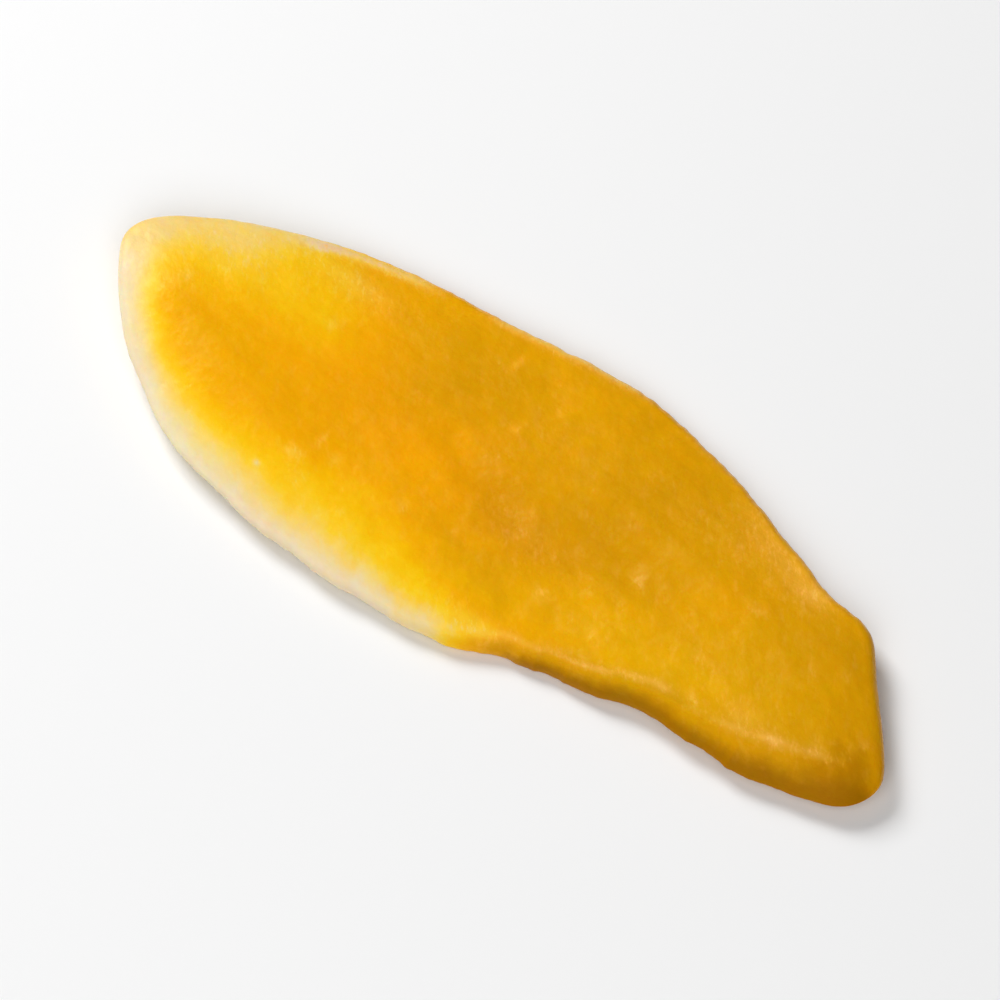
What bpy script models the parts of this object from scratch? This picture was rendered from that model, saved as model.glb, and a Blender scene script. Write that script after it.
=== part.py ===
"""A dried mango slice, lying down with its crowned face up.

Metres, +Z up. X runs from the blunt end to the cut end and Y from the near edge to the far edge.
The origin is at the middle of the footprint, on the surface that the slice lies on.
"""

import bmesh
import bpy
import numpy as np
from mathutils import Vector, noise

NAME = "mango_slice"
COLLECTION = "dried_mango_slice"

# The mesh: points round each cross-section, and cross-sections along the slice
ROUND = 52
ALONG = 80
EDGE_POINTS = 320

# The outline from above: the two tips, and between them rows of x, far edge y and near edge y
HALF_LENGTH = 0.0631
BLUNT_TIP_Y = 0.0017
CUT_TIP_Y = -0.0057
OUTLINE = (
    (-0.0610, 0.0062, -0.0028),
    (-0.0570, 0.0095, -0.0077),
    (-0.0480, 0.0146, -0.0150),
    (-0.0360, 0.0193, -0.0204),
    (-0.0250, 0.0214, -0.0224),
    (-0.0150, 0.0221, -0.0231),
    (-0.0040, 0.0234, -0.0228),
    (0.0080, 0.0239, -0.0207),
    (0.0150, 0.0228, -0.0178),
    (0.0260, 0.0193, -0.0164),
    (0.0350, 0.0159, -0.0143),
    (0.0430, 0.0130, -0.0148),
    (0.0500, 0.0115, -0.0137),
    (0.0550, 0.0058, -0.0126),
    (0.0605, -0.0005, -0.0105),
)
EDGE_WAVE_LENGTH = 0.0065
FAR_EDGE_WAVE = 0.0003
NEAR_EDGE_WAVE = 0.0006

# The thickness: a rounded rim, thin at the blunt end, and a crown that rises slowest from the near edge.
# The higher CROWN_START is over 1, the longer the slice stays thin in from its rim.
RIM_THICKNESS = 0.0025
THIN_RIM_THICKNESS = 0.0012
THIN_RIM_END = 0.0200
RIM_ROUNDING = 0.0013
MIDDLE_THICKNESS = 0.0048
CROWN_REACH = 0.0064
CROWN_START = 1.4
NEAR_EDGE_TAPER = 0.30
TOP_SHARE = 0.62
# Towards the cut end the near rim grows into a sloping wall, which spreads by a share of the
# way from where it is full. A rim's power is 2 where its profile is a quarter circle, and 1
# where it is a straight slope.
WALL_START = 0.0020
WALL_FULL = 0.0240
WALL_GROWTH = 0.0015
WALL_ROUNDING = 0.0021
WALL_SPREAD = 0.07
WALL_WAVE = 0.0006
WALL_WAVE_LENGTH = 0.0085
RIM_POWER = 2.0
WALL_POWER = 1.3

# How the slice lies: the height of its middle layer, its bow, its cup and its twist
HALF_WIDTH = 0.0233
REST_HEIGHT = 0.0014
BLUNT_TIP_RISE = 0.0040
CUT_TIP_RISE = 0.0024
CUP_RISE = 0.0005
TWIST_RISE = 0.0010
RIM_RIPPLE = 0.0013
RIPPLE_LENGTH = 0.0270
RIPPLE_REACH = 0.0080

# The unevenness of both faces
DENT_DEPTH = 0.00030
DENT_LENGTH = 0.0130
UNDERSIDE_DENT_DEPTH = 0.00045
# Folds of the crowned face: start x and y, end x and y, half breadth, height
FOLDS = (
    (-0.0100, 0.0020, 0.0040, -0.0028, 0.0022, -0.00040),
    (0.0085, -0.0030, 0.0200, 0.0000, 0.0022, -0.00035),
    (0.0100, 0.0080, 0.0370, 0.0045, 0.0026, 0.00035),
    (0.0160, -0.0145, 0.0360, -0.0100, 0.0016, -0.00030),
    (-0.0420, 0.0060, -0.0140, 0.0130, 0.0030, -0.00030),
    (-0.0520, -0.0030, -0.0240, -0.0120, 0.0030, 0.00025),
)

# Each unevenness is read from its own layer of the noise
FAR_EDGE_LAYER = 1.7
NEAR_EDGE_LAYER = 5.3
RIPPLE_LAYER = 9.1
WALL_LAYER = 12.3
DENT_LAYER = 3.4
UNDERSIDE_LAYER = 7.9

MANGO_COLOUR = (0.80, 0.40, 0.03, 1.0)
MANGO_ROUGHNESS = 0.42


def clear_scene():
    for item in list(bpy.data.objects):
        bpy.data.objects.remove(item)


def smooth_curve(places, values, at):
    """The values at the given places of a smooth curve through the stations."""
    slopes = np.gradient(values, places)
    i = np.clip(np.searchsorted(places, at) - 1, 0, len(places) - 2)
    step = places[i + 1] - places[i]
    s = (at - places[i]) / step
    start = (1 + 2 * s) * (1 - s) ** 2 * values[i] + s * (1 - s) ** 2 * step * slopes[i]
    end = s**2 * (3 - 2 * s) * values[i + 1] + s**2 * (s - 1) * step * slopes[i + 1]
    return start + end


def wander(x, y, length, layer):
    """Smooth unevenness from -1 to 1 whose swells are about as long as given."""
    spots = zip(np.ravel(x) / length, np.ravel(y) / length)
    swells = [noise.noise(Vector((a, b, layer))) for a, b in spots]
    return np.reshape(swells, np.shape(x))


def edge(x, tip_values, values, wave, layer):
    """One long edge's y at each x, as a curve of the angle that makes both tips round."""
    stations = np.array([-HALF_LENGTH, *[row[0] for row in OUTLINE], HALF_LENGTH])
    turns = np.arccos(-stations / HALF_LENGTH)
    at = np.arccos(np.clip(-x / HALF_LENGTH, -1, 1))
    y = smooth_curve(turns, np.array([tip_values[0], *values, tip_values[1]]), at)
    return y + wave * np.sin(at) * wander(x, 0 * x, EDGE_WAVE_LENGTH, layer)


def edges(x):
    """The far and the near edge's y at each x."""
    tips = (BLUNT_TIP_Y, CUT_TIP_Y)
    far = edge(x, tips, [row[1] for row in OUTLINE], FAR_EDGE_WAVE, FAR_EDGE_LAYER)
    near = edge(x, tips, [row[2] for row in OUTLINE], NEAR_EDGE_WAVE, NEAR_EDGE_LAYER)
    return far, near


def distance_to_edge(x, y, edge_y):
    """The distance in plan from each point to one long edge, where edge_y gives its y at an x."""
    edge_x = -HALF_LENGTH * np.cos(np.linspace(0, np.pi, EDGE_POINTS))
    line = np.stack([edge_x, edge_y(edge_x)], axis=1)
    start, step = line[:-1], np.diff(line, axis=0)
    points = np.stack([x, y], axis=1)[:, None, :]
    share = np.sum((points - start) * step, axis=2) / np.sum(step**2, axis=1)
    nearest = start + np.clip(share, 0, 1)[:, :, None] * step
    return np.linalg.norm(points - nearest, axis=2).min(axis=1)


def rim_depth(x, y):
    """How far each point is in from the rim, smooth over the middle of the slice."""
    far = distance_to_edge(x, y, lambda at: edges(at)[0])
    near = distance_to_edge(x, y, lambda at: edges(at)[1])
    return far * near / np.maximum(np.hypot(far, near), 1e-9)


def thickness(x, y, across, depth):
    """The slice's thickness at a depth in from the rim."""
    thin = np.clip((THIN_RIM_END - x) / (THIN_RIM_END + HALF_LENGTH), 0, 1)
    wall = np.clip((x - WALL_START) / (WALL_FULL - WALL_START), 0, 1) * (1 - across) / 2
    rim = RIM_THICKNESS + (THIN_RIM_THICKNESS - RIM_THICKNESS) * thin + WALL_GROWTH * wall
    power = RIM_POWER + (WALL_POWER - RIM_POWER) * wall
    wave = WALL_WAVE * wander(x, 0 * x, WALL_WAVE_LENGTH, WALL_LAYER)
    full = WALL_ROUNDING + WALL_SPREAD * np.maximum(x - WALL_FULL, 0)
    rounding = RIM_ROUNDING + (full - RIM_ROUNDING + wave) * wall
    rounded = (1 - (1 - np.minimum(depth / rounding, 1)) ** power) ** (1 / power)
    reach = CROWN_REACH * (1 - NEAR_EDGE_TAPER * y / HALF_WIDTH)
    crown = 1 - np.exp(-((depth / reach) ** CROWN_START))
    return rim * rounded + (MIDDLE_THICKNESS - rim) * crown


def middle_layer(x, y, depth):
    """The height of the layer halfway through the rim: bowed, cupped, twisted and rippled."""
    along, across = x / HALF_LENGTH, y / HALF_WIDTH
    bow = np.where(x < 0, BLUNT_TIP_RISE, CUT_TIP_RISE) * along**2
    cup = CUP_RISE * across**2
    twist = TWIST_RISE * along * across
    ripple = RIM_RIPPLE * np.exp(-depth / RIPPLE_REACH) * wander(x, y, RIPPLE_LENGTH, RIPPLE_LAYER)
    return REST_HEIGHT + bow + cup + twist + ripple


def folds(x, y):
    """The height of the crowned face's furrows and ridges at each point."""
    height = np.zeros(len(x))
    for start_x, start_y, end_x, end_y, half_breadth, rise in FOLDS:
        step_x, step_y = end_x - start_x, end_y - start_y
        share = ((x - start_x) * step_x + (y - start_y) * step_y) / (step_x**2 + step_y**2)
        share = np.clip(share, 0, 1)
        away = np.hypot(x - start_x - share * step_x, y - start_y - share * step_y)
        height += rise * np.exp(-((away / half_breadth) ** 2))
    return height


def slice_points(along, across, upward):
    """The slice's points, for places from -1 to 1 along and across, on top where upward is over 0."""
    x = HALF_LENGTH * along
    far, near = edges(x)
    y = (far + near) / 2 + across * (far - near) / 2
    depth = rim_depth(x, y)
    inside = 1 - np.exp(-depth / RIM_ROUNDING)
    body = thickness(x, y, across, depth)
    layer = middle_layer(x, y, depth)
    dents = inside * DENT_DEPTH * wander(x, y, DENT_LENGTH, DENT_LAYER)
    top = layer + TOP_SHARE * body + dents + inside * folds(x, y)
    hollows = inside * UNDERSIDE_DENT_DEPTH * wander(x, y, DENT_LENGTH, UNDERSIDE_LAYER)
    bottom = np.maximum(layer - (1 - TOP_SHARE) * body + hollows, 0)
    return np.stack([x, y, np.where(upward > 0, top, bottom)], axis=1)


def make_slice():
    """The slice as one closed mesh: a sphere on its side, each of whose points is moved to its place."""
    bm = bmesh.new()
    bmesh.ops.create_uvsphere(bm, u_segments=ROUND, v_segments=ALONG, radius=1)
    ball = np.array([vert.co for vert in bm.verts], dtype=float)
    along = ball[:, 2]
    ring = np.maximum(np.hypot(ball[:, 0], ball[:, 1]), 1e-9)
    places = slice_points(along, ball[:, 0] / ring, ball[:, 1])
    places[:, 1] -= (places[:, 1].max() + places[:, 1].min()) / 2
    for vert, place in zip(bm.verts, places):
        vert.co = place
    bmesh.ops.recalc_face_normals(bm, faces=bm.faces)
    mesh = bpy.data.meshes.new(NAME)
    bm.to_mesh(mesh)
    bm.free()
    mesh.shade_smooth()
    return mesh


def mango_material():
    material = bpy.data.materials.new("dried_mango")
    material.use_nodes = True
    shader = material.node_tree.nodes["Principled BSDF"]
    shader.inputs["Base Color"].default_value = MANGO_COLOUR
    shader.inputs["Roughness"].default_value = MANGO_ROUGHNESS
    shader.inputs["Metallic"].default_value = 0.0
    return material


def main():
    clear_scene()
    collection = bpy.data.collections.new(COLLECTION)
    bpy.context.scene.collection.children.link(collection)
    mango = bpy.data.objects.new(NAME, make_slice())
    mango.data.materials.append(mango_material())
    collection.objects.link(mango)


main()
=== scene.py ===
"""The looks of a dried mango slice: its fine surface and its flesh, on a pale floor in soft light.

Metres, +Z up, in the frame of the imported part: X runs from the blunt end to the cut end.
"""

import math

import bpy
import numpy as np
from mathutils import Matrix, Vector, noise


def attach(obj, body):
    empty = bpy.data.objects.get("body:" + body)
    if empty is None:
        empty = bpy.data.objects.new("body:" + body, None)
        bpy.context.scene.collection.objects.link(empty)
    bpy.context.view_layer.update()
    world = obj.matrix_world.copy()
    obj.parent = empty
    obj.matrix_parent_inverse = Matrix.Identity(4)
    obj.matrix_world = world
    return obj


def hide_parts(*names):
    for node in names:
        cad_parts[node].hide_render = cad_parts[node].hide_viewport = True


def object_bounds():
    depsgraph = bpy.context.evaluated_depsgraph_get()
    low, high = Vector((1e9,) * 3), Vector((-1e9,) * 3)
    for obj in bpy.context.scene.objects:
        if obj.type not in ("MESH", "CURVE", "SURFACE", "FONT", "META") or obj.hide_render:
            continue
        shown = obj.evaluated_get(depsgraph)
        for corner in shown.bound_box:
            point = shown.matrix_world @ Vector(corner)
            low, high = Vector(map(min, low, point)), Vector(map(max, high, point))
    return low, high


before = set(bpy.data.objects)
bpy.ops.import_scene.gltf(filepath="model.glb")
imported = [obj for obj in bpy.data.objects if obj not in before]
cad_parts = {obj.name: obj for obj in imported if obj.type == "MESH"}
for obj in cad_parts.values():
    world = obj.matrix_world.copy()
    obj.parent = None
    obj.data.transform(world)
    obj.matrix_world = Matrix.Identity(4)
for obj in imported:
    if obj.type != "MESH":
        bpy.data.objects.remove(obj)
cad_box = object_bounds()

NODE = "mango_slice"

# The fine mesh: cross-sections along the slice, and points round each on the top and underneath
ROWS = 490
TOP_POINTS = 140
BOTTOM_POINTS = 60
EDGE_POINTS = 700
POINTS_AT_ONCE = 2000
# Keeps the depth in from the rim from being a division by 0 at the tips
LEAST_GAP = 1e-9

# The outline from above, as the solid has it: x, far edge y and near edge y
HALF_LENGTH = 0.0631
BLUNT_TIP_Y = 0.0017
CUT_TIP_Y = -0.0057
OUTLINE = (
    (-0.0610, 0.0062, -0.0028),
    (-0.0570, 0.0095, -0.0077),
    (-0.0480, 0.0146, -0.0150),
    (-0.0360, 0.0193, -0.0204),
    (-0.0250, 0.0214, -0.0224),
    (-0.0150, 0.0221, -0.0231),
    (-0.0040, 0.0234, -0.0228),
    (0.0080, 0.0239, -0.0207),
    (0.0150, 0.0228, -0.0178),
    (0.0260, 0.0193, -0.0164),
    (0.0350, 0.0159, -0.0143),
    (0.0430, 0.0130, -0.0148),
    (0.0500, 0.0115, -0.0137),
    (0.0550, 0.0058, -0.0126),
    (0.0605, -0.0005, -0.0105),
)
EDGE_WAVE_LENGTH = 0.0065
FAR_EDGE_WAVE = 0.0003
NEAR_EDGE_WAVE = 0.0006

# The thickness, as the solid has it
RIM_THICKNESS = 0.0025
THIN_RIM_THICKNESS = 0.0012
THIN_RIM_END = 0.0200
RIM_ROUNDING = 0.0013
MIDDLE_THICKNESS = 0.0048
CROWN_REACH = 0.0064
CROWN_START = 1.4
NEAR_EDGE_TAPER = 0.30
TOP_SHARE = 0.62
WALL_START = 0.0020
WALL_FULL = 0.0240
WALL_GROWTH = 0.0015
WALL_ROUNDING = 0.0021
WALL_SPREAD = 0.07
WALL_WAVE = 0.0006
WALL_WAVE_LENGTH = 0.0085
RIM_POWER = 2.0
WALL_POWER = 1.3

# How the slice lies, as the solid does
HALF_WIDTH = 0.0233
REST_HEIGHT = 0.0014
BLUNT_TIP_RISE = 0.0040
CUT_TIP_RISE = 0.0024
CUP_RISE = 0.0005
TWIST_RISE = 0.0010
RIM_RIPPLE = 0.0013
RIPPLE_LENGTH = 0.0270
RIPPLE_REACH = 0.0080

# The broad unevenness of both faces, as the solid has it
DENT_DEPTH = 0.00030
DENT_LENGTH = 0.0130
UNDERSIDE_DENT_DEPTH = 0.00045
FOLDS = (
    (-0.0100, 0.0020, 0.0040, -0.0028, 0.0022, -0.00040),
    (0.0085, -0.0030, 0.0200, 0.0000, 0.0022, -0.00035),
    (0.0100, 0.0080, 0.0370, 0.0045, 0.0026, 0.00035),
    (0.0160, -0.0145, 0.0360, -0.0100, 0.0016, -0.00030),
    (-0.0420, 0.0060, -0.0140, 0.0130, 0.0030, -0.00030),
    (-0.0520, -0.0030, -0.0240, -0.0120, 0.0030, 0.00025),
)

# Each unevenness is read from its own layer of the noise, as the solid's is
FAR_EDGE_LAYER = 1.7
NEAR_EDGE_LAYER = 5.3
RIPPLE_LAYER = 9.1
WALL_LAYER = 12.3
DENT_LAYER = 3.4
UNDERSIDE_LAYER = 7.9

# The fine relief that only the looks have: notches in the edges, each with its length, its depth
# and how steep its ends are, and ragged steps that only the wall's edge has
NOTCHES = ((0.0024, 0.00020, 1.5), (0.0010, 0.00016, 2.0))
RAGGED_STEPS = ((0.0060, 0.00060, 6.0),)
# The share of its depth that an edge is notched by on average, and how far it goes up and down
NOTCH_MIDDLE = 0.3
NOTCH_SWING = 0.5
FAR_NOTCH_LAYER = 13.6
NEAR_NOTCH_LAYER = 15.4
# A low lip where the wall meets the face: along it x, distance in from the near edge, strength
LIP = (
    (0.0070, 0.0019, 0.0),
    (0.0120, 0.0020, 0.8),
    (0.0220, 0.0022, 1.0),
    (0.0290, 0.0031, 1.0),
    (0.0330, 0.0036, 0.8),
    (0.0370, 0.0034, 0.1),
    (0.0420, 0.0034, 0.5),
    (0.0480, 0.0048, 1.0),
    (0.0600, 0.0052, 0.2),
)
LIP_BREADTH = 0.0007
LIP_HEIGHT = 0.00016
# The lip's strength on average, how far it goes up and down, and over what length
LIP_STRENGTH = 0.8
LIP_UNEVENNESS = 0.6
LIP_LENGTH = 0.0030
LIP_LAYER = 17.2
# Swells of both faces: length along the slice, breadth, depth
RELIEF = (
    (0.0046, 0.0030, 0.00008),
    (0.0110, 0.0016, 0.00007),
    (0.0026, 0.0015, 0.00007),
    (0.0015, 0.0011, 0.00003),
)
BLUNT_RELIEF_SHARE = 0.6
RELIEF_LAYER = 21.5
UNDERSIDE_RELIEF_LAYER = 33.5

# The flesh's paleness runs from 0, deep amber, to 1, cream, and a little past it. It falls off
# between two places along the slice, from its value at the blunt end to that at the cut end.
BLUNT_PALENESS = 0.50
CUT_PALENESS = 0.28
FALL_START = -0.0450
FALL_END = 0.0200
# Zones of other paleness, some of them painted shade: middle x and y, reach along and across, change
ZONES = (
    (-0.0500, 0.0060, 0.0060, 0.0040, 0.08),
    (-0.0500, -0.0050, 0.0070, 0.0050, -0.12),
    (-0.0455, -0.0095, 0.0070, 0.0035, -0.10),
    (-0.0360, 0.0070, 0.0130, 0.0060, 0.17),
    (-0.0190, 0.0165, 0.0070, 0.0030, -0.07),
    (-0.0160, 0.0110, 0.0110, 0.0070, -0.13),
    (-0.0120, -0.0155, 0.0190, 0.0060, 0.22),
    (-0.0105, -0.0020, 0.0075, 0.0060, 0.14),
    (-0.0020, 0.0180, 0.0260, 0.0050, 0.05),
    (-0.0010, 0.0000, 0.0060, 0.0030, -0.08),
    (0.0000, 0.0120, 0.0050, 0.0035, 0.05),
    (0.0030, -0.0120, 0.0070, 0.0035, -0.07),
    (0.0110, -0.0170, 0.0050, 0.0035, -0.10),
    (0.0150, 0.0030, 0.0080, 0.0050, -0.09),
    (0.0200, 0.0140, 0.0060, 0.0040, -0.08),
    (0.0240, -0.0080, 0.0170, 0.0050, 0.11),
    # Painted shade on the near rim
    (0.0300, -0.0145, 0.0080, 0.0022, -0.11),
    (0.0340, 0.0030, 0.0100, 0.0060, 0.09),
    (0.0430, 0.0050, 0.0050, 0.0050, -0.10),
    # Painted shadow at the far corner of the cut end
    (0.0520, 0.0100, 0.0060, 0.0050, -0.17),
    # Darker golden flesh at the cut end, deepened by painted shade
    (0.0620, -0.0060, 0.0095, 0.0110, -0.23),
)
ZONE_BEND = 0.0030
ZONE_BEND_LENGTH = 0.0120
ZONE_BEND_LAYER = 41.3
# Broad bands of yellow along the edges and at the blunt tip: reach inwards, rise in paleness.
# The near one is weaker towards the cut end.
NEAR_BAND = (0.0070, 0.19)
FAR_BAND = (0.0080, 0.20)
TIP_BAND = (0.0120, 0.06)
NEAR_BAND_LOSS = 0.5
# The thin rim is cream round the blunt end, on the far side only near the tip. From the middle
# to the cut end the far rim is tan, and the near one's wall is darkened with painted shade, which
# fades out by the lip. The higher its fading value, the more sharply a colour ends inwards.
NEAR_CREAM = 1.13
FAR_CREAM = 0.92
CREAM_REACH = 0.0039
FAR_CREAM_END = -0.0340
FAR_CREAM_FULL = -0.0480
TAN = 0.44
TAN_REACH = 0.0019
TAN_STRENGTH = 0.5
CREAM_END = -0.0080
TAN_START = 0.0260
NEAR_FADING = 1.6
FAR_FADING = 1.7
# Painted shade on the near wall: its paleness, its reach beside the lip, how sharply it ends, and where
# along the slice it begins and is full
WALL_SHADE_PALENESS = -0.05
WALL_SHADE_SHARE = 0.80
WALL_SHADE_FADING = 1.4
WALL_SHADE_START = 0.0030
WALL_SHADE_FULL = 0.0190
RIM_WAVE = 0.17
RIM_WAVE_LENGTH = 0.0050
RIM_WAVE_LAYER = 81.2

# Zones of another hue, from -1, a greener yellow, to 1, orange: middle x and y, reach along and
# across, change
HUES = (
    (-0.0470, -0.0060, 0.0080, 0.0050, -0.45),
    (-0.0400, -0.0180, 0.0120, 0.0040, -0.50),
    (-0.0360, 0.0120, 0.0060, 0.0040, -0.60),
    (-0.0220, 0.0060, 0.0100, 0.0060, 0.45),
    (-0.0100, -0.0010, 0.0200, 0.0060, 0.80),
    (0.0000, -0.0150, 0.0120, 0.0040, -0.70),
    (0.0060, -0.0050, 0.0090, 0.0040, 0.40),
    (0.0250, -0.0090, 0.0160, 0.0050, -0.90),
    (0.0420, -0.0040, 0.0120, 0.0080, -0.60),
)
# How much more orange the painted shade on the wall is
WALL_SHADE_WARMTH = 0.3

# Pale bloom on the flesh, sugar bloom with painted highlights in places: its strength everywhere,
# and more of it in places, each with its middle x and y, reach along and across, and strength
BLOOM = 0.028
BLOOM_PLACES = (
    (-0.0500, 0.0060, 0.0060, 0.0060, 0.20),
    (-0.0410, 0.0105, 0.0090, 0.0035, 0.12),
    (-0.0340, 0.0138, 0.0070, 0.0022, 0.40),
    (0.0060, -0.0030, 0.0070, 0.0035, 0.20),
    (0.0080, 0.0110, 0.0120, 0.0050, 0.06),
    (0.0090, -0.0178, 0.0060, 0.0022, 0.42),
    (0.0340, 0.0125, 0.0130, 0.0028, 0.16),
    (0.0380, -0.0060, 0.0140, 0.0070, 0.08),
    (0.0380, 0.0080, 0.0120, 0.0050, 0.06),
    (0.0470, -0.0090, 0.0060, 0.0030, 0.20),
)
# Small peach marks of the same bloom, partly painted highlights
PEACH_MARKS_AND_HIGHLIGHTS = (
    (-0.0523, 0.0003, 0.0011, 0.0010, 0.32),
    (-0.0328, 0.0068, 0.0010, 0.0009, 0.30),
    (-0.0248, -0.0118, 0.0013, 0.0011, 0.45),
    (-0.0232, -0.0082, 0.0005, 0.0013, 0.40),
    (-0.0225, -0.0142, 0.0018, 0.0014, 0.25),
    (-0.0200, -0.0093, 0.0008, 0.0010, 0.35),
    (-0.0147, -0.0148, 0.0009, 0.0008, 0.30),
    (-0.0086, -0.0095, 0.0009, 0.0008, 0.22),
    (0.0092, 0.0036, 0.0026, 0.0008, 0.16),
    (0.0130, -0.0087, 0.0020, 0.0008, 0.26),
    (0.0335, -0.0108, 0.0016, 0.0009, 0.26),
    (0.0358, -0.0045, 0.0018, 0.0009, 0.18),
    (0.0364, 0.0051, 0.0016, 0.0010, 0.18),
    (0.0402, 0.0106, 0.0028, 0.0012, 0.20),
    (0.0436, -0.0084, 0.0022, 0.0014, 0.20),
    (0.0477, 0.0016, 0.0012, 0.0010, 0.18),
    (0.0494, -0.0089, 0.0016, 0.0012, 0.28),
    (0.0515, 0.0039, 0.0010, 0.0015, 0.16),
    (0.0541, -0.0068, 0.0015, 0.0014, 0.30),
)
# Single whitish specks, partly sugar crystals and partly painted glints, in the same way, and how far
# each lightens the flesh and its bloom
SPECKS_AND_GLINTS = (
    (-0.0279, -0.0157, 0.0005, 0.0004, 0.90),
    (-0.0102, 0.0168, 0.0006, 0.0014, 0.70),
    (-0.0045, 0.0083, 0.0009, 0.0007, 0.60),
    (-0.0010, 0.0139, 0.0006, 0.0008, 0.40),
)
SPECK_PALENESS = 0.22
SPECK_BLOOM = 0.45
# The feathery lines along the far edge, partly frayed rim and partly painted highlight: from x, to x,
# distance in, breadth, strength
FEATHERY_HIGHLIGHTS = (
    (-0.0440, -0.0260, 0.0012, 0.0011, 0.90),
    (-0.0180, 0.0060, 0.0006, 0.0010, 0.80),
    (0.0120, 0.0240, 0.0006, 0.0010, 0.25),
    (0.0250, 0.0440, 0.0018, 0.0022, 0.25),
)
FEATHER_END = 0.0035
# The strength of the painted highlight along the crest of the lip
LIP_HIGHLIGHT = 0.60

# The flesh's colours, by paleness, and the colour of the bloom with its painted highlights, as they look
# on a screen
FLESH = (
    # The lowest stops are mostly for the painted shade on the wall and at the cut end
    (0.00, (168, 113, 3)),
    (0.05, (184, 126, 3)),
    (0.15, (212, 150, 3)),
    (0.30, (223, 159, 3)),
    (0.42, (235, 167, 3)),
    (0.52, (245, 174, 3)),
    (0.62, (250, 188, 6)),
    (0.70, (252, 197, 18)),
    (0.77, (251, 204, 48)),
    (0.88, (247, 210, 103)),
    (1.00, (241, 215, 148)),
    (1.12, (236, 219, 182)),
)
BLOOM_AND_HIGHLIGHT_COLOUR = (246, 196, 122)
# What the flesh's colour is multiplied by where it is greenest and where it is most orange
GREEN_TINT = (0.98, 1.10, 1.00)
ORANGE_TINT = (1.00, 0.90, 1.00)
# The mottling is fainter towards both ends, and it is more even under the wall's painted shade
BLUNT_MOTTLING = 0.6
CUT_MOTTLING = 0.62
CUT_MOTTLING_START = 0.0100
CUT_MOTTLING_FULL = 0.0350
WALL_SHADE_EVENNESS = 0.6

# The material's noises: breadth, how many times longer than broad, turn from +X, and detail.
# Its short strokes slant across the slice.
STROKE_TURN = math.radians(-50)
MOTTLE = (0.0026, 1.6, STROKE_TURN, 5)
STRANDS = (0.0007, 5, 0, 3)
GRAIN = (0.00040, 1.6, STROKE_TURN, 2)
SPOTS = (0.0014, 2.0, STROKE_TURN, 3)
STROKES = (0.00045, 2.4, STROKE_TURN, 2)
HUE = (0.0021, 1.5, 0, 3)
GLOSS = (0.0022, 2.0, 0, 3)
NOISE_ROUGHNESS = 0.6
CELL_BREADTH = 0.0011
CELL_SMOOTHNESS = 0.6
# Where in their noise the spots and the strokes of bloom begin, and where they are full
SPOT_RANGE = (0.56, 0.70)
STROKE_RANGE = (0.54, 0.68)
# How much the bloom covers by itself, by its spots and by its strokes, and how much its spots
# cover where there is no bloom
PLAIN_COVER = 0.55
SPOT_COVER = 0.36
STROKE_COVER = 0.32
BARE_SPOT_COVER = 0.02
# How much the flesh's paleness goes up and down with its noises, and up with the bloom's cover
MOTTLE_PALENESS = 0.30
STRAND_PALENESS = 0.06
GRAIN_PALENESS = 0.06
COVER_PALENESS = 0.70
# The hue's noise: how far it swings, and what is added so that it stays near the zones' hue
HUE_SWING = 1.60
HUE_SHIFT = -0.62
# The gloss: the range of its noise that counts, the roughness there, and more under bloom
GLOSS_RANGE = (0.30, 0.70)
ROUGHNESS = (0.18, 0.36)
COVER_ROUGHNESS = 0.15
# The bump: the height of each of its noises, its depth in metres, and its strength on bare
# flesh and under full bloom
CELL_HEIGHT = 0.7
STRAND_HEIGHT = 0.45
GRAIN_HEIGHT = 0.4
BUMP_DEPTH = 0.00012
BUMP_STRENGTH = (0.50, 1.0)
FULL_BLOOM = 0.50
# What is the same all over the flesh
FLESH_VALUES = {
    "IOR": 1.25,
    "Specular IOR Level": 0.50,
    "Specular Tint": (1.0, 0.80, 0.35, 1),
    "Subsurface Weight": 0.30,
    "Subsurface Radius": (1.0, 0.45, 0.10),
    "Subsurface Scale": 0.0012,
}

# The picture
CAMERA_AZIMUTH = math.radians(36.9)
CAMERA_ELEVATION = math.radians(60)
CAMERA_DISTANCE = 0.77
CAMERA_LENS = 215
CAMERA_NEAR_LIMIT = 0.01
CAMERA_TARGET = (0.000, -0.001, 0.003)
# Square soft lights: direction from the slice, distance, size, watts, and whether it reflects them
LIGHTS = {
    "key": ((-0.70, 0.20, 0.68), 0.9, 0.4, 6.2, True),
    "front": ((0.35, -0.55, 0.75), 1.0, 0.9, 6.6, False),
    "side": ((0.10, -0.85, 0.50), 1.0, 0.9, 0.9, True),
}
WORLD_STRENGTH = 0.07
FLOOR_HALF = 3.0
FLOOR_GREY = 0.91
FLOOR_ROUGHNESS = 0.7


def linear(red, green, blue):
    """A colour as it looks on a screen, 0 to 255, as the shader's linear values."""
    parts = np.array([red, green, blue]) / 255
    return np.where(parts <= 0.04045, parts / 12.92, ((parts + 0.055) / 1.055) ** 2.4)


def smooth_step(low, high, value):
    """A smooth rise from 0 at low to 1 at high, where high may also be the lower number."""
    share = np.clip((value - low) / (high - low), 0, 1)
    return share**2 * (3 - 2 * share)


def smooth_curve(places, values, at):
    """The values at the given places of a smooth curve through the stations."""
    slopes = np.gradient(values, places)
    i = np.clip(np.searchsorted(places, at) - 1, 0, len(places) - 2)
    step = places[i + 1] - places[i]
    s = (at - places[i]) / step
    start = (1 + 2 * s) * (1 - s) ** 2 * values[i] + s * (1 - s) ** 2 * step * slopes[i]
    end = s**2 * (3 - 2 * s) * values[i + 1] + s**2 * (s - 1) * step * slopes[i + 1]
    return start + end


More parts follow.
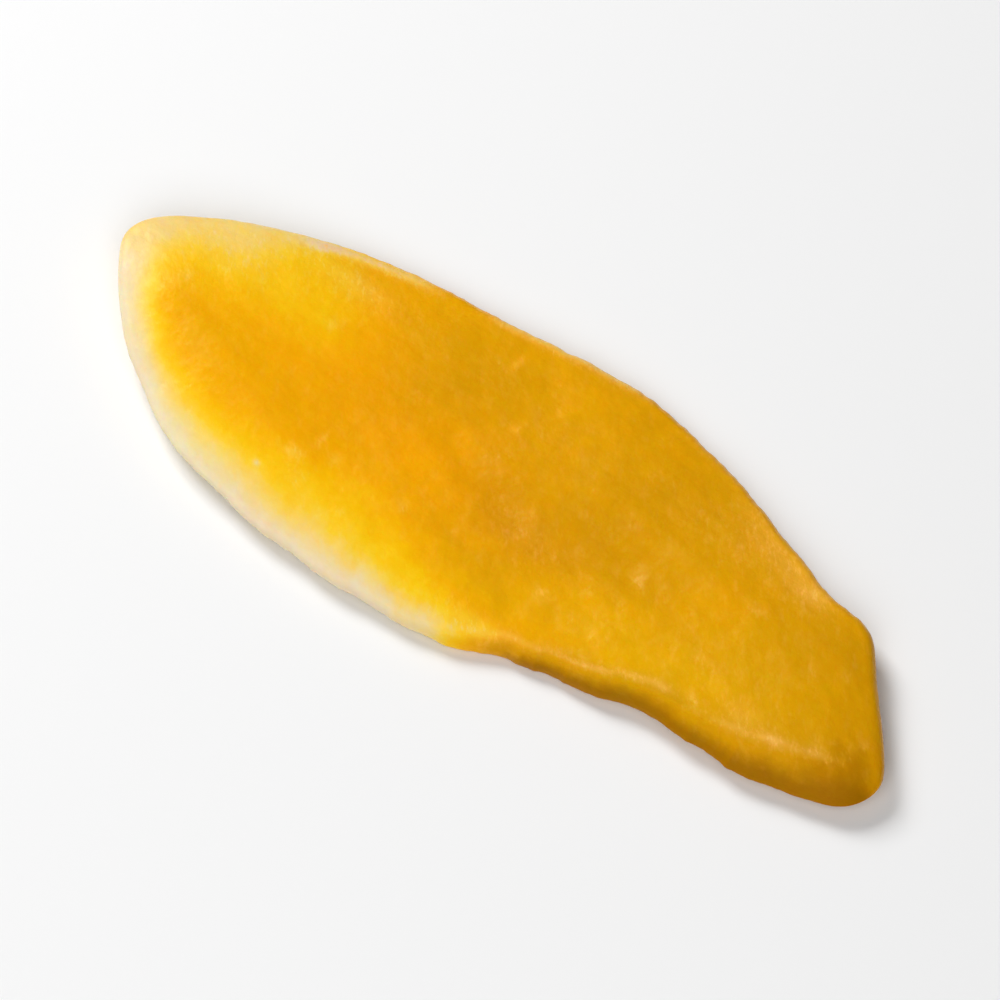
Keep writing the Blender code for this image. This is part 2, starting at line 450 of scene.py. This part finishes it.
def wander(x, y, length, layer):
    """Smooth unevenness from -1 to 1 whose swells are about as long as given."""
    spots = zip(np.ravel(x) / length, np.ravel(y) / length)
    swells = [noise.noise(Vector((a, b, layer))) for a, b in spots]
    return np.reshape(swells, np.shape(x))


def notch_depth(x, notches, layer):
    """How far in an edge is notched, and hardly at all at the tips."""
    depth = np.zeros(np.shape(x))
    for i, (length, most, steepness) in enumerate(notches):
        swing = NOTCH_SWING * np.tanh(steepness * wander(x, 0 * x, length, layer + i))
        depth += most * (NOTCH_MIDDLE + swing)
    return depth * np.sqrt(np.clip(1 - (x / HALF_LENGTH) ** 2, 0, 1))


def edge(x, tip_values, values, wave, layer):
    """One long edge's y at each x, as a curve of the angle that makes both tips round."""
    stations = np.array([-HALF_LENGTH, *[row[0] for row in OUTLINE], HALF_LENGTH])
    turns = np.arccos(-stations / HALF_LENGTH)
    at = np.arccos(np.clip(-x / HALF_LENGTH, -1, 1))
    y = smooth_curve(turns, np.array([tip_values[0], *values, tip_values[1]]), at)
    return y + wave * np.sin(at) * wander(x, 0 * x, EDGE_WAVE_LENGTH, layer)


def edges(x):
    """The far and the near edge's y at each x."""
    tips = (BLUNT_TIP_Y, CUT_TIP_Y)
    far = edge(x, tips, [row[1] for row in OUTLINE], FAR_EDGE_WAVE, FAR_EDGE_LAYER)
    near = edge(x, tips, [row[2] for row in OUTLINE], NEAR_EDGE_WAVE, NEAR_EDGE_LAYER)
    far -= notch_depth(x, NOTCHES, FAR_NOTCH_LAYER)
    near += notch_depth(x, NOTCHES, NEAR_NOTCH_LAYER)
    near += notch_depth(x, RAGGED_STEPS, NEAR_NOTCH_LAYER) * smooth_step(WALL_START, WALL_FULL, x)
    return far, near


def distance_to_line(points, line):
    """The distance in plan from each point to a line through many points."""
    start, step = line[:-1], np.diff(line, axis=0)
    found = []
    for first in range(0, len(points), POINTS_AT_ONCE):
        some = points[first : first + POINTS_AT_ONCE, None, :] - start
        share = np.clip(np.sum(some * step, axis=2) / np.sum(step**2, axis=1), 0, 1)
        found.append(np.linalg.norm(some - share[:, :, None] * step, axis=2).min(axis=1))
    return np.concatenate(found)


def edge_gaps(x, y):
    """How far each point is in from the far and from the near edge."""
    edge_x = -HALF_LENGTH * np.cos(np.linspace(0, np.pi, EDGE_POINTS))
    points = np.stack([x, y], axis=1)
    return [distance_to_line(points, np.stack([edge_x, line], axis=1)) for line in edges(edge_x)]


def toward_blunt_end(x):
    """How far each place has come from the middle towards the blunt end, from 0 to 1."""
    return smooth_step(WALL_START, -HALF_LENGTH / 2, x)


def wall_share(x, across):
    """How far the rim has grown into the sloping wall of the cut end's near side."""
    return np.clip((x - WALL_START) / (WALL_FULL - WALL_START), 0, 1) * (1 - across) / 2


def thickness(x, y, across, depth):
    """The slice's thickness at a depth in from the rim."""
    thin = np.clip((THIN_RIM_END - x) / (THIN_RIM_END + HALF_LENGTH), 0, 1)
    wall = wall_share(x, across)
    rim = RIM_THICKNESS + (THIN_RIM_THICKNESS - RIM_THICKNESS) * thin + WALL_GROWTH * wall
    power = RIM_POWER + (WALL_POWER - RIM_POWER) * wall
    wave = WALL_WAVE * wander(x, 0 * x, WALL_WAVE_LENGTH, WALL_LAYER)
    full = WALL_ROUNDING + WALL_SPREAD * np.maximum(x - WALL_FULL, 0)
    rounding = RIM_ROUNDING + (full - RIM_ROUNDING + wave) * wall
    rounded = (1 - (1 - np.minimum(depth / rounding, 1)) ** power) ** (1 / power)
    reach = CROWN_REACH * (1 - NEAR_EDGE_TAPER * y / HALF_WIDTH)
    crown = 1 - np.exp(-((depth / reach) ** CROWN_START))
    return rim * rounded + (MIDDLE_THICKNESS - rim) * crown


def middle_layer(x, y, depth):
    """The height of the layer halfway through the rim: bowed, cupped, twisted and rippled."""
    along, across = x / HALF_LENGTH, y / HALF_WIDTH
    bow = np.where(x < 0, BLUNT_TIP_RISE, CUT_TIP_RISE) * along**2
    cup = CUP_RISE * across**2
    twist = TWIST_RISE * along * across
    ripple = RIM_RIPPLE * np.exp(-depth / RIPPLE_REACH) * wander(x, y, RIPPLE_LENGTH, RIPPLE_LAYER)
    return REST_HEIGHT + bow + cup + twist + ripple


def folds(x, y):
    """The height of the crowned face's furrows and ridges at each point."""
    height = np.zeros(len(x))
    for start_x, start_y, end_x, end_y, half_breadth, rise in FOLDS:
        step_x, step_y = end_x - start_x, end_y - start_y
        share = ((x - start_x) * step_x + (y - start_y) * step_y) / (step_x**2 + step_y**2)
        share = np.clip(share, 0, 1)
        away = np.hypot(x - start_x - share * step_x, y - start_y - share * step_y)
        height += rise * np.exp(-((away / half_breadth) ** 2))
    return height


def relief(x, y, middle_y, layer):
    """The fine unevenness of a face, drawn out along the slice's middle line."""
    height = np.zeros(len(x))
    for i, (length, breadth, depth) in enumerate(RELIEF):
        height += depth * wander(x, (y - middle_y) * length / breadth, length, layer + i)
    return height * (1 + (BLUNT_RELIEF_SHARE - 1) * toward_blunt_end(x))


def lip_place(x):
    """How far in from the near edge the lip runs at each x."""
    return np.interp(x, [row[0] for row in LIP], [row[1] for row in LIP])


def lip_share(x, y, near_gap):
    """How near each point is to the crest of the lip, which comes and goes."""
    strength = np.interp(x, [row[0] for row in LIP], [row[2] for row in LIP])
    uneven = LIP_STRENGTH + LIP_UNEVENNESS * wander(x, y, LIP_LENGTH, LIP_LAYER)
    return strength * uneven * np.exp(-(((near_gap - lip_place(x)) / LIP_BREADTH) ** 2))


def spread(width, count):
    """Distances from one rim to the other, closest where the rounded rims are steep."""
    rounding = np.minimum(RIM_ROUNDING, width / 2)
    quarter = rounding * np.pi / 2
    total = width - 2 * rounding + 2 * quarter
    travel = total * np.linspace(0, 1, count + 1)
    near = np.minimum(travel, total - travel)
    curved = rounding * (1 - np.cos(near / rounding))
    gone = np.where(near < quarter, curved, near + rounding - quarter)
    return np.where(travel < total / 2, gone, width - gone)


def section_places():
    """For each cross-section its x, and the places round it: across from -1 to 1, and whether on top."""
    row_x = -HALF_LENGTH + spread(2 * HALF_LENGTH, ROWS)[1:-1]
    far, near = edges(row_x)
    x, across = [], []
    for place, width in zip(row_x, far - near):
        top = 1 - 2 * spread(width, TOP_POINTS)[:-1] / width
        bottom = 2 * spread(width, BOTTOM_POINTS)[:-1] / width - 1
        x.append(np.full(TOP_POINTS + BOTTOM_POINTS, place))
        across.append(np.concatenate([top, bottom]))
    upward = np.tile(np.arange(TOP_POINTS + BOTTOM_POINTS) < TOP_POINTS, len(row_x))
    return np.concatenate(x), np.concatenate(across), upward


def skin_faces(rows, around):
    """Four-sided faces between neighbouring cross-sections, and a fan of triangles at each tip."""
    first = np.arange(rows - 1)[:, None] * around
    here = np.arange(around)[None, :]
    after = (here + 1) % around
    quads = np.stack([first + here, first + after, first + around + after, first + around + here], axis=2)
    blunt_tip, cut_tip = rows * around, rows * around + 1
    last = (rows - 1) * around
    blunt = [(blunt_tip, (i + 1) % around, i) for i in range(around)]
    cut = [(cut_tip, last + i, last + (i + 1) % around) for i in range(around)]
    return quads.reshape(-1, 4).tolist() + blunt + cut


def patches(x, y, places):
    """The sum of soft ellipses, each with its middle, its reach along and across, and its height."""
    total = np.zeros(len(x))
    for middle_x, middle_y, reach_x, reach_y, height in places:
        away = ((x - middle_x) / reach_x) ** 2 + ((y - middle_y) / reach_y) ** 2
        total += height * np.exp(-away)
    return total


def bent(x, y):
    """The places moved about a little, so that a zone laid over them has an uneven outline."""
    bent_x = x + ZONE_BEND * wander(x, y, ZONE_BEND_LENGTH, ZONE_BEND_LAYER)
    return bent_x, y + ZONE_BEND * wander(x, y, ZONE_BEND_LENGTH, -ZONE_BEND_LAYER)


def wall_shade_cover(x, near_gap):
    """How fully the painted shade of the wall covers each point, from 0 to 1."""
    share = np.exp(-((near_gap / (WALL_SHADE_SHARE * lip_place(x))) ** WALL_SHADE_FADING))
    return smooth_step(WALL_SHADE_START, WALL_SHADE_FULL, x) * share


def find_paleness(x, y, far_gap, near_gap):
    """The flesh's paleness, from its thick amber middle out to its thin rim, with painted shade on the
    near wall and towards the cut end.
    """
    bent_x, bent_y = bent(x, y)
    fallen = smooth_step(FALL_START, FALL_END, bent_x)
    pale = BLUNT_PALENESS + (CUT_PALENESS - BLUNT_PALENESS) * fallen
    pale += patches(bent_x, bent_y, ZONES) + SPECK_PALENESS * patches(x, y, SPECKS_AND_GLINTS)
    toward_cut = smooth_step(CREAM_END, TAN_START, x)
    toward_tip = smooth_step(FAR_CREAM_END, FAR_CREAM_FULL, x)
    near_reach, near_rise = NEAR_BAND
    far_reach, far_rise = FAR_BAND
    tip_reach, tip_rise = TIP_BAND
    near_rise = near_rise * (1 - NEAR_BAND_LOSS * toward_cut)
    pale += near_rise * np.exp(-((near_gap / near_reach) ** 2))
    pale += far_rise * toward_tip * np.exp(-((far_gap / far_reach) ** 2))
    pale += tip_rise * np.exp(-(((x + HALF_LENGTH) / tip_reach) ** 2))
    uneven = 1 + RIM_WAVE * wander(x, y, RIM_WAVE_LENGTH, RIM_WAVE_LAYER)
    near_share = np.exp(-((near_gap / (CREAM_REACH * uneven)) ** NEAR_FADING))
    pale += (NEAR_CREAM - pale) * (1 - toward_cut) * near_share
    # Painted shade darkens the near wall towards the cut end
    pale += (WALL_SHADE_PALENESS - pale) * wall_shade_cover(x, near_gap)
    far_rim = FAR_CREAM + (TAN - FAR_CREAM) * toward_cut
    far_edge = (CREAM_REACH + (TAN_REACH - CREAM_REACH) * toward_cut) * uneven
    far_share = np.maximum(toward_tip, TAN_STRENGTH * toward_cut)
    return pale + (far_rim - pale) * far_share * np.exp(-((far_gap / far_edge) ** FAR_FADING))


def find_bloom_and_highlights(x, y, far_gap, near_gap):
    """How strong the pale bloom is, with its painted highlights, most along the lip and the feathery
    stretches of the far edge.
    """
    bloom = BLOOM + patches(x, y, BLOOM_PLACES + PEACH_MARKS_AND_HIGHLIGHTS) + SPECK_BLOOM * patches(x, y, SPECKS_AND_GLINTS)
    # Under the wall's painted shade the bloom gives way, and the lip's crest gets a painted highlight
    bloom = bloom * (1 - wall_shade_cover(x, near_gap)) + LIP_HIGHLIGHT * lip_share(x, y, near_gap)
    # Painted highlights along the feathery stretches of the far edge
    for start, end, place, breadth, strength in FEATHERY_HIGHLIGHTS:
        along = smooth_step(start - FEATHER_END, start + FEATHER_END, x)
        along = along * smooth_step(end + FEATHER_END, end - FEATHER_END, x)
        bloom += strength * along * np.exp(-(((far_gap - place) / breadth) ** 2))
    return bloom


def keep_on_points(mesh, name, values):
    """One number for each of the mesh's points, kept under a name for the material."""
    mesh.attributes.new(name, "FLOAT", "POINT").data.foreach_set("value", values.astype(np.float32))


def keep_looks(mesh, x, y, far_gap, near_gap):
    """The paleness, bloom, warmth and mottling of the flesh, with the wall's painted shade and the
    painted highlights, kept on the mesh's points.
    """
    wall = wall_shade_cover(x, near_gap)
    toward_cut = smooth_step(CUT_MOTTLING_START, CUT_MOTTLING_FULL, x)
    mottling = 1 + (BLUNT_MOTTLING - 1) * toward_blunt_end(x) + (CUT_MOTTLING - 1) * toward_cut
    keep_on_points(mesh, "paleness", find_paleness(x, y, far_gap, near_gap))
    keep_on_points(mesh, "bloom", find_bloom_and_highlights(x, y, far_gap, near_gap))
    keep_on_points(mesh, "warmth", patches(*bent(x, y), HUES) + WALL_SHADE_WARMTH * wall)
    keep_on_points(mesh, "mottling", mottling * (1 - WALL_SHADE_EVENNESS * wall))


def face_heights(x, y, middle_y, across, far_gap, near_gap):
    """The height of the top and of the underside at each point, inside the solid's box."""
    depth = far_gap * near_gap / np.maximum(np.hypot(far_gap, near_gap), LEAST_GAP)
    inside = 1 - np.exp(-depth / RIM_ROUNDING)
    body = thickness(x, y, across, depth)
    layer = middle_layer(x, y, depth)
    dents = DENT_DEPTH * wander(x, y, DENT_LENGTH, DENT_LAYER) + folds(x, y)
    fine = relief(x, y, middle_y, RELIEF_LAYER) + LIP_HEIGHT * lip_share(x, y, near_gap)
    top = layer + TOP_SHARE * body + inside * (dents + fine)
    hollows = UNDERSIDE_DENT_DEPTH * wander(x, y, DENT_LENGTH, UNDERSIDE_LAYER)
    under = inside * (hollows + relief(x, y, middle_y, UNDERSIDE_RELIEF_LAYER))
    bottom = layer - (1 - TOP_SHARE) * body + under
    return np.minimum(top, cad_box[1][2]), np.maximum(bottom, 0)


def make_slice():
    """The slice's fine mesh, with its looks kept on its points."""
    x, across, upward = section_places()
    x = np.append(x, [-HALF_LENGTH, HALF_LENGTH])
    across = np.append(across, [0, 0])
    upward = np.append(upward, [True, True])
    far, near = edges(x)
    middle_y = (far + near) / 2
    y = middle_y + across * (far - near) / 2
    far_gap, near_gap = edge_gaps(x, y)
    top, bottom = face_heights(x, y, middle_y, across, far_gap, near_gap)
    points = np.stack([x, y, np.where(upward, top, bottom)], axis=1)
    # Centred across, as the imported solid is
    points[:, 1] -= (y.max() + y.min()) / 2
    mesh = bpy.data.meshes.new("mango_flesh")
    mesh.from_pydata(points.tolist(), [], skin_faces(ROWS - 1, TOP_POINTS + BOTTOM_POINTS))
    mesh.shade_smooth()
    keep_looks(mesh, x, y, far_gap, near_gap)
    slice_object = bpy.data.objects.new("mango_flesh", mesh)
    bpy.context.scene.collection.objects.link(slice_object)
    return slice_object


def add_node(tree, kind, options, inputs):
    """A new node with the given options, and with values or links on its inputs."""
    node = tree.nodes.new(kind)
    for name, value in options.items():
        setattr(node, name, value)
    for name, value in inputs.items():
        if isinstance(value, bpy.types.NodeSocket):
            tree.links.new(value, node.inputs[name])
        else:
            node.inputs[name].default_value = value
    return node


def sum_of(tree, value, factor, more):
    """The value times the factor, plus more."""
    inputs = {0: value, 1: factor, 2: more}
    return add_node(tree, "ShaderNodeMath", {"operation": "MULTIPLY_ADD"}, inputs).outputs[0]


def rescale(tree, value, low, high, new_low, new_high):
    """The value with low to high drawn out to new_low to new_high, and no further."""
    inputs = {"Value": value, "From Min": low, "From Max": high, "To Min": new_low, "To Max": new_high}
    return add_node(tree, "ShaderNodeMapRange", {}, inputs).outputs["Result"]


def swells(tree, place, breadth, stretch, turn, detail):
    """Noise from 0 to 1 whose swells have the given breadth and are stretched, turned from +X."""
    inputs = {"Vector": place, "Rotation": (0, 0, turn), "Scale": (breadth * stretch, breadth, breadth)}
    mapped = add_node(tree, "ShaderNodeMapping", {"vector_type": "TEXTURE"}, inputs)
    inputs = {"Vector": mapped.outputs[0], "Scale": 1, "Detail": detail, "Roughness": NOISE_ROUGHNESS}
    return add_node(tree, "ShaderNodeTexNoise", {}, inputs).outputs[0]


def cells(tree, place, breadth):
    """Rounded cells of the given breadth, as the distance from the middle of each."""
    inputs = {"Vector": place, "Scale": 1 / breadth, "Smoothness": CELL_SMOOTHNESS}
    return add_node(tree, "ShaderNodeTexVoronoi", {"feature": "SMOOTH_F1"}, inputs).outputs["Distance"]


def mix(tree, blend, share, first, second):
    """Two colours blended in the given way, where the share says how much of the second is used."""
    inputs = {0: share, 6: first, 7: second}
    return add_node(tree, "ShaderNodeMix", {"data_type": "RGBA", "blend_type": blend}, inputs).outputs[2]


def kept_value(tree, name):
    """A number that is kept on the mesh's points."""
    return add_node(tree, "ShaderNodeAttribute", {"attribute_name": name}, {}).outputs["Fac"]


def flesh_ramp(tree, paleness):
    """The flesh's colour at each paleness, on a ramp that goes up to the palest."""
    palest = FLESH[-1][0]
    share = sum_of(tree, paleness, 1 / palest, 0.0)
    ramp = add_node(tree, "ShaderNodeValToRGB", {}, {"Fac": share})
    stops = ramp.color_ramp.elements
    for position, _ in FLESH[1:-1]:
        stops.new(position / palest)
    for stop, (position, colour) in zip(stops, FLESH):
        stop.position = position / palest
        stop.color = (*linear(*colour), 1)
    return ramp.outputs["Color"]


def bloom_and_highlight_cover(tree, place, bloom):
    """How much of the flesh the bloom and its painted highlights cover, in spots and strokes, from 0 to
    1.
    """
    spots = rescale(tree, swells(tree, place, *SPOTS), *SPOT_RANGE, 0, 1)
    strokes = rescale(tree, swells(tree, place, *STROKES), *STROKE_RANGE, 0, 1)
    cover = sum_of(tree, spots, SPOT_COVER, sum_of(tree, bloom, PLAIN_COVER, 0.0))
    cover = sum_of(tree, strokes, STROKE_COVER, cover)
    return sum_of(tree, cover, bloom, sum_of(tree, spots, BARE_SPOT_COVER, 0.0))


def flesh_colour(tree, place, strands, grain, cover):
    """The flesh's colour with its painted shade, mottled and tinted, with the bloom and its painted
    highlights over it.
    """
    middle = (MOTTLE_PALENESS + STRAND_PALENESS + GRAIN_PALENESS) / 2
    uneven = sum_of(tree, swells(tree, place, *MOTTLE), MOTTLE_PALENESS, -middle)
    uneven = sum_of(tree, strands, STRAND_PALENESS, uneven)
    uneven = sum_of(tree, grain, GRAIN_PALENESS, uneven)
    paleness = sum_of(tree, uneven, kept_value(tree, "mottling"), kept_value(tree, "paleness"))
    paleness = sum_of(tree, cover, COVER_PALENESS, paleness)

    warmth = sum_of(tree, kept_value(tree, "warmth"), 1.0, HUE_SHIFT)
    warmth = sum_of(tree, swells(tree, place, *HUE), HUE_SWING, warmth)
    warmth = rescale(tree, warmth, -1, 1, 0, 1)
    tint = mix(tree, "MIX", warmth, (*GREEN_TINT, 1), (*ORANGE_TINT, 1))
    flesh = mix(tree, "MULTIPLY", 1.0, flesh_ramp(tree, paleness), tint)
    return mix(tree, "MIX", cover, flesh, (*linear(*BLOOM_AND_HIGHLIGHT_COLOUR), 1))


def flesh_bump(tree, place, strands, grain, bloom):
    """The shading normal of a surface of fine cells, strands and grain, roughest under the bloom."""
    height = sum_of(tree, cells(tree, place, CELL_BREADTH), CELL_HEIGHT, 0.0)
    height = sum_of(tree, strands, STRAND_HEIGHT, height)
    height = sum_of(tree, grain, GRAIN_HEIGHT, height)
    strength = rescale(tree, bloom, BLOOM, FULL_BLOOM, *BUMP_STRENGTH)
    inputs = {"Strength": strength, "Distance": BUMP_DEPTH, "Height": height}
    return add_node(tree, "ShaderNodeBump", {}, inputs).outputs["Normal"]


def mango_material():
    """Translucent flesh with mottling, strands, grain, pale bloom with painted highlights and an uneven
    satin gloss.
    """
    material = bpy.data.materials.new("dried_mango_flesh")
    material.use_nodes = True
    tree = material.node_tree
    shader = tree.nodes["Principled BSDF"]
    place = add_node(tree, "ShaderNodeTexCoord", {}, {}).outputs["Object"]
    strands = swells(tree, place, *STRANDS)
    grain = swells(tree, place, *GRAIN)
    bloom = kept_value(tree, "bloom")
    cover = bloom_and_highlight_cover(tree, place, bloom)
    gloss = rescale(tree, swells(tree, place, *GLOSS), *GLOSS_RANGE, *ROUGHNESS)
    roughness = sum_of(tree, cover, COVER_ROUGHNESS, gloss)
    tree.links.new(flesh_colour(tree, place, strands, grain, cover), shader.inputs["Base Color"])
    tree.links.new(roughness, shader.inputs["Roughness"])
    tree.links.new(flesh_bump(tree, place, strands, grain, bloom), shader.inputs["Normal"])
    for name, value in FLESH_VALUES.items():
        shader.inputs[name].default_value = value
    return material


def floor_material():
    """A plain pale matt grey."""
    material = bpy.data.materials.new("pale_floor")
    material.use_nodes = True
    shader = material.node_tree.nodes["Principled BSDF"]
    shader.inputs["Base Color"].default_value = (FLOOR_GREY, FLOOR_GREY, FLOOR_GREY, 1)
    shader.inputs["Roughness"].default_value = FLOOR_ROUGHNESS
    return material


def make_floor():
    """The floor that the slice lies on, which isn't part of it."""
    mesh = bpy.data.meshes.new("floor")
    corners = [(-1, -1), (1, -1), (1, 1), (-1, 1)]
    mesh.from_pydata([(x * FLOOR_HALF, y * FLOOR_HALF, 0) for x, y in corners], [], [(0, 1, 2, 3)])
    mesh.materials.append(floor_material())
    floor = bpy.data.objects.new("floor", mesh)
    bpy.context.scene.collection.objects.link(floor)


def add_light(name, toward, distance, size, watts, reflected):
    """A square soft light in the given direction from the slice, which may reflect it or not."""
    light = bpy.data.lights.new(name, "AREA")
    light.size = size
    light.energy = watts
    lamp = bpy.data.objects.new(name, light)
    direction = Vector(toward).normalized()
    lamp.location = direction * distance
    lamp.rotation_euler = direction.to_track_quat("Z", "Y").to_euler()
    lamp.visible_glossy = reflected
    bpy.context.scene.collection.objects.link(lamp)


def make_lights():
    """The soft lights, and a dim white world round them."""
    for name, (toward, distance, size, watts, reflected) in LIGHTS.items():
        add_light(name, toward, distance, size, watts, reflected)
    world = bpy.data.worlds.new("studio")
    world.use_nodes = True
    background = world.node_tree.nodes["Background"]
    background.inputs["Color"].default_value = (1, 1, 1, 1)
    background.inputs["Strength"].default_value = WORLD_STRENGTH
    bpy.context.scene.world = world
    bpy.context.scene.view_settings.view_transform = "Standard"


def make_camera():
    """The camera, which looks down on the slice at the photograph's angle."""
    camera = bpy.data.cameras.new("camera")
    camera.lens = CAMERA_LENS
    camera.clip_start = CAMERA_NEAR_LIMIT
    holder = bpy.data.objects.new("camera", camera)
    level = math.cos(CAMERA_ELEVATION)
    back = Vector((
        math.sin(CAMERA_AZIMUTH) * level,
        -math.cos(CAMERA_AZIMUTH) * level,
        math.sin(CAMERA_ELEVATION),
    ))
    holder.location = Vector(CAMERA_TARGET) + back * CAMERA_DISTANCE
    holder.rotation_euler = back.to_track_quat("Z", "Y").to_euler()
    bpy.context.scene.collection.objects.link(holder)
    bpy.context.scene.camera = holder


mango = make_slice()
mango.data.materials.append(mango_material())
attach(mango, "root")
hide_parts(NODE)
make_floor()
make_lights()
make_camera()
